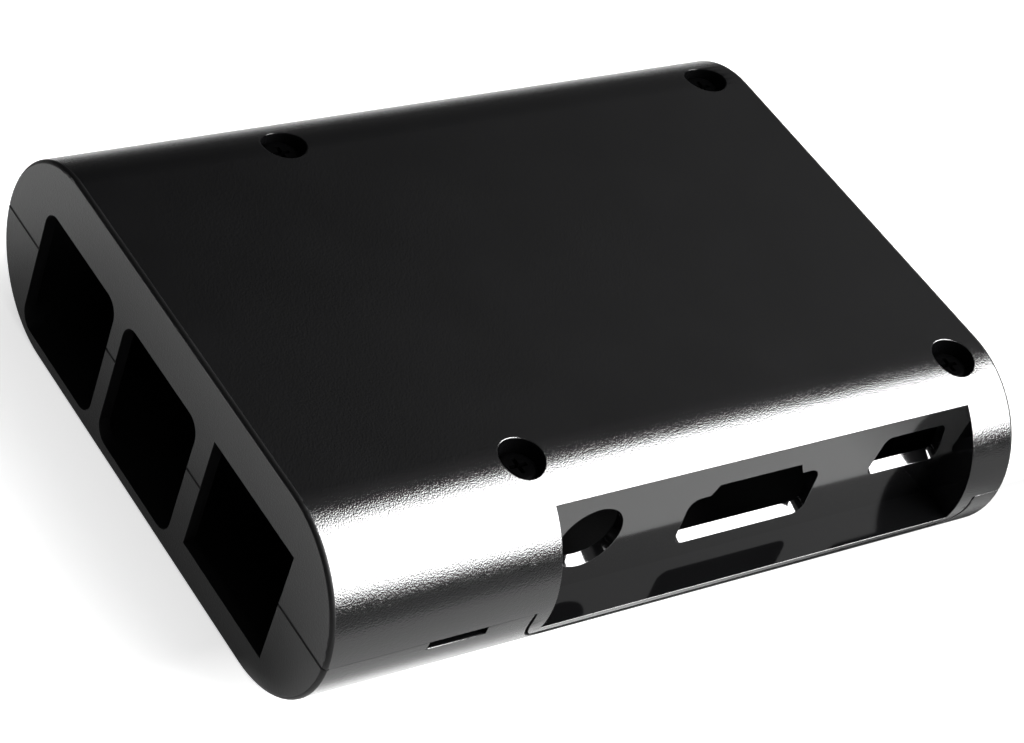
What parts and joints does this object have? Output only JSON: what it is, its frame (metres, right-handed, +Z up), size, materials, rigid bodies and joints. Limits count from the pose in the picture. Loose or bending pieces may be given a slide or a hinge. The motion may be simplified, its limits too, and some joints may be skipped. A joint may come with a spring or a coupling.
{
  "type": "single board computer case",
  "caption": "Two-piece moulded case with round sides that holds a small single board computer between screw bosses and posts and leaves its ports open.",
  "frame": {"origin": "centre of the cover's outer face, on which the case rests as in the picture", "axes": "+Z up, from the cover's outer face to the screw face; +X from the end with the tall jack openings to the memory card end; -Y to the side with the port bay"},
  "size_m": [0.0886, 0.0692, 0.0237],
  "materials": {
    "case_plastic": "satin",
    "screw_steel": "black oxide"
  },
  "bodies": {
    "root": {"base_shell": "case_plastic", "top_cover": "case_plastic", "case_screws": "screw_steel"}
  },
  "joints": []
}
